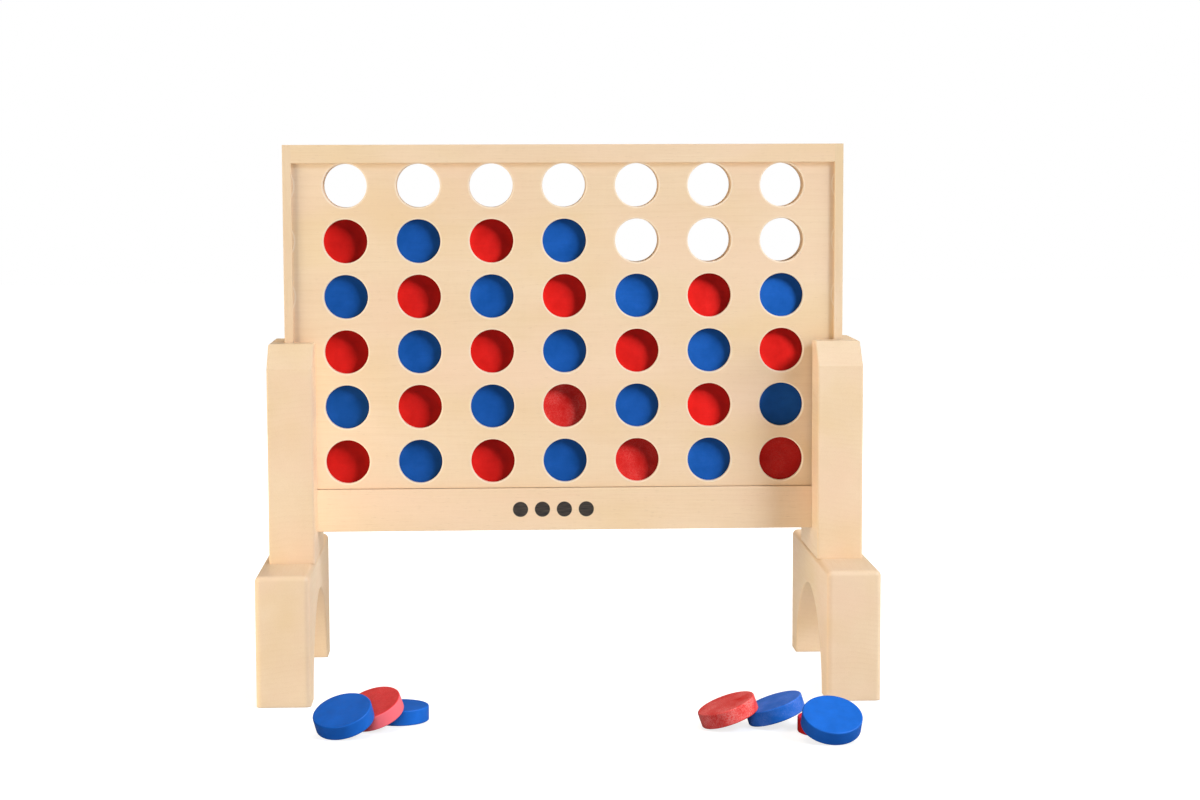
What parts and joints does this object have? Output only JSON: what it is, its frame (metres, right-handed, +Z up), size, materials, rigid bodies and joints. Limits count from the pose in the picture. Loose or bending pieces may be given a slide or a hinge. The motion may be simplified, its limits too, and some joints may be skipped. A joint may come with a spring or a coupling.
{
  "type": "giant four in a row",
  "caption": "Garden-size upright disc-drop game: slotted wooden board with round windows that lifts out of its arched legs, with red and blue discs.",
  "frame": {"origin": "on the ground at the middle of the whole set as it is laid out, loose discs included; the board's middle plane is 154.8 mm behind it (+Y)", "axes": "+X along the board to a player's right, +Y from the front of the board to its rear, +Z up"},
  "size_m": [0.9814, 0.7734, 0.877],
  "materials": {
    "panel_wood": "satin",
    "frame_wood": "satin",
    "leg_wood": "satin",
    "hardwood": "satin",
    "red_paint": "satin paint",
    "blue_paint": "satin paint",
    "zinc_steel": "zinc plated",
    "insert_brass": "bright"
  },
  "bodies": {
    "stand": {"left_post": "leg_wood", "right_post": "leg_wood", "left_foot": "leg_wood", "right_foot": "leg_wood", "leg_bolts": "zinc_steel", "leg_washers": "zinc_steel", "threaded_inserts": "insert_brass", "leg_dowels": "hardwood"},
    "board": {"front_panel": "panel_wood", "rear_panel": "panel_wood", "left_stile": "frame_wood", "right_stile": "frame_wood", "front_top_strip": "frame_wood", "rear_top_strip": "frame_wood", "front_bottom_rail": "frame_wood", "rear_bottom_rail": "frame_wood", "column_dividers": "frame_wood", "frame_screws": "zinc_steel"},
    "release_gate": {"release_gate": "frame_wood", "gate_pull": "hardwood"},
    "column_1_stack": {"red_disc_column_1_row_1": "red_paint", "blue_disc_column_1_row_2": "blue_paint", "red_disc_column_1_row_3": "red_paint", "blue_disc_column_1_row_4": "blue_paint"},
    "column_1_top_disc": {"red_disc_column_1_row_5": "red_paint"},
    "column_2_stack": {"blue_disc_column_2_row_1": "blue_paint", "red_disc_column_2_row_2": "red_paint", "blue_disc_column_2_row_3": "blue_paint", "red_disc_column_2_row_4": "red_paint"},
    "column_2_top_disc": {"blue_disc_column_2_row_5": "blue_paint"},
    "column_3_stack": {"red_disc_column_3_row_1": "red_paint", "blue_disc_column_3_row_2": "blue_paint", "red_disc_column_3_row_3": "red_paint", "blue_disc_column_3_row_4": "blue_paint"},
    "column_3_top_disc": {"red_disc_column_3_row_5": "red_paint"},
    "column_4_stack": {"blue_disc_column_4_row_1": "blue_paint", "red_disc_column_4_row_2": "red_paint", "blue_disc_column_4_row_3": "blue_paint", "red_disc_column_4_row_4": "red_paint"},
    "column_4_top_disc": {"blue_disc_column_4_row_5": "blue_paint"},
    "column_5_stack": {"red_disc_column_5_row_1": "red_paint", "blue_disc_column_5_row_2": "blue_paint", "red_disc_column_5_row_3": "red_paint"},
    "column_5_top_disc": {"blue_disc_column_5_row_4": "blue_paint"},
    "column_6_stack": {"blue_disc_column_6_row_1": "blue_paint", "red_disc_column_6_row_2": "red_paint", "blue_disc_column_6_row_3": "blue_paint"},
    "column_6_top_disc": {"red_disc_column_6_row_4": "red_paint"},
    "column_7_stack": {"red_disc_column_7_row_1": "red_paint", "blue_disc_column_7_row_2": "blue_paint", "red_disc_column_7_row_3": "red_paint"},
    "column_7_top_disc": {"blue_disc_column_7_row_4": "blue_paint"},
    "loose_blue_disc_left_flat": {"loose_blue_disc_left_flat": "blue_paint"},
    "loose_red_disc_left_middle": {"loose_red_disc_left_middle": "red_paint"},
    "loose_blue_disc_left_front": {"loose_blue_disc_left_front": "blue_paint"},
    "loose_red_disc_right_flat": {"loose_red_disc_right_flat": "red_paint"},
    "loose_blue_disc_right_middle": {"loose_blue_disc_right_middle": "blue_paint"},
    "loose_red_disc_right_end": {"loose_red_disc_right_end": "red_paint"},
    "loose_blue_disc_right_front": {"loose_blue_disc_right_front": "blue_paint"}
  },
  "joints": [
    {"name": "board_lift", "type": "slide", "parent": "stand", "child": "board", "axis": [0, 0, 1], "range_m": [0, 0.32]},
    {"name": "gate_slide", "type": "slide", "parent": "board", "child": "release_gate", "axis": [1, 0, 0], "range_m": [0, 0.0592]},
    {"name": "column_1_stack_lift", "type": "slide", "parent": "board", "child": "column_1_stack", "axis": [0, 0, 1], "range_m": [0, 0.565]},
    {"name": "column_1_top_disc_lift", "type": "slide", "parent": "column_1_stack", "child": "column_1_top_disc", "axis": [0, 0, 1], "range_m": [0, 0.205]},
    {"name": "column_2_stack_lift", "type": "slide", "parent": "board", "child": "column_2_stack", "axis": [0, 0, 1], "range_m": [0, 0.565]},
    {"name": "column_2_top_disc_lift", "type": "slide", "parent": "column_2_stack", "child": "column_2_top_disc", "axis": [0, 0, 1], "range_m": [0, 0.205]},
    {"name": "column_3_stack_lift", "type": "slide", "parent": "board", "child": "column_3_stack", "axis": [0, 0, 1], "range_m": [0, 0.565]},
    {"name": "column_3_top_disc_lift", "type": "slide", "parent": "column_3_stack", "child": "column_3_top_disc", "axis": [0, 0, 1], "range_m": [0, 0.205]},
    {"name": "column_4_stack_lift", "type": "slide", "parent": "board", "child": "column_4_stack", "axis": [0, 0, 1], "range_m": [0, 0.565]},
    {"name": "column_4_top_disc_lift", "type": "slide", "parent": "column_4_stack", "child": "column_4_top_disc", "axis": [0, 0, 1], "range_m": [0, 0.205]},
    {"name": "column_5_stack_lift", "type": "slide", "parent": "board", "child": "column_5_stack", "axis": [0, 0, 1], "range_m": [0, 0.565]},
    {"name": "column_5_top_disc_lift", "type": "slide", "parent": "column_5_stack", "child": "column_5_top_disc", "axis": [0, 0, 1], "range_m": [0, 0.295]},
    {"name": "column_6_stack_lift", "type": "slide", "parent": "board", "child": "column_6_stack", "axis": [0, 0, 1], "range_m": [0, 0.565]},
    {"name": "column_6_top_disc_lift", "type": "slide", "parent": "column_6_stack", "child": "column_6_top_disc", "axis": [0, 0, 1], "range_m": [0, 0.295]},
    {"name": "column_7_stack_lift", "type": "slide", "parent": "board", "child": "column_7_stack", "axis": [0, 0, 1], "range_m": [0, 0.565]},
    {"name": "column_7_top_disc_lift", "type": "slide", "parent": "column_7_stack", "child": "column_7_top_disc", "axis": [0, 0, 1], "range_m": [0, 0.295]},
    {"name": "lift_blue_disc_left_flat", "type": "slide", "parent": "stand", "child": "loose_blue_disc_left_flat", "axis": [0, 0, 1], "range_m": [0, 0.15]},
    {"name": "lift_red_disc_left_middle", "type": "slide", "parent": "loose_blue_disc_left_flat", "child": "loose_red_disc_left_middle", "axis": [0, 0, 1], "range_m": [0, 0.15]},
    {"name": "lift_blue_disc_left_front", "type": "slide", "parent": "loose_red_disc_left_middle", "child": "loose_blue_disc_left_front", "axis": [0, 0, 1], "range_m": [0, 0.15]},
    {"name": "lift_red_disc_right_flat", "type": "slide", "parent": "stand", "child": "loose_red_disc_right_flat", "axis": [0, 0, 1], "range_m": [0, 0.15]},
    {"name": "lift_blue_disc_right_middle", "type": "slide", "parent": "loose_red_disc_right_flat", "child": "loose_blue_disc_right_middle", "axis": [0, 0, 1], "range_m": [0, 0.15]},
    {"name": "lift_red_disc_right_end", "type": "slide", "parent": "loose_blue_disc_right_middle", "child": "loose_red_disc_right_end", "axis": [0, 0, 1], "range_m": [0, 0.15]},
    {"name": "lift_blue_disc_right_front", "type": "slide", "parent": "loose_red_disc_right_flat", "child": "loose_blue_disc_right_front", "axis": [0, 0, 1], "range_m": [0, 0.15]}
  ]
}
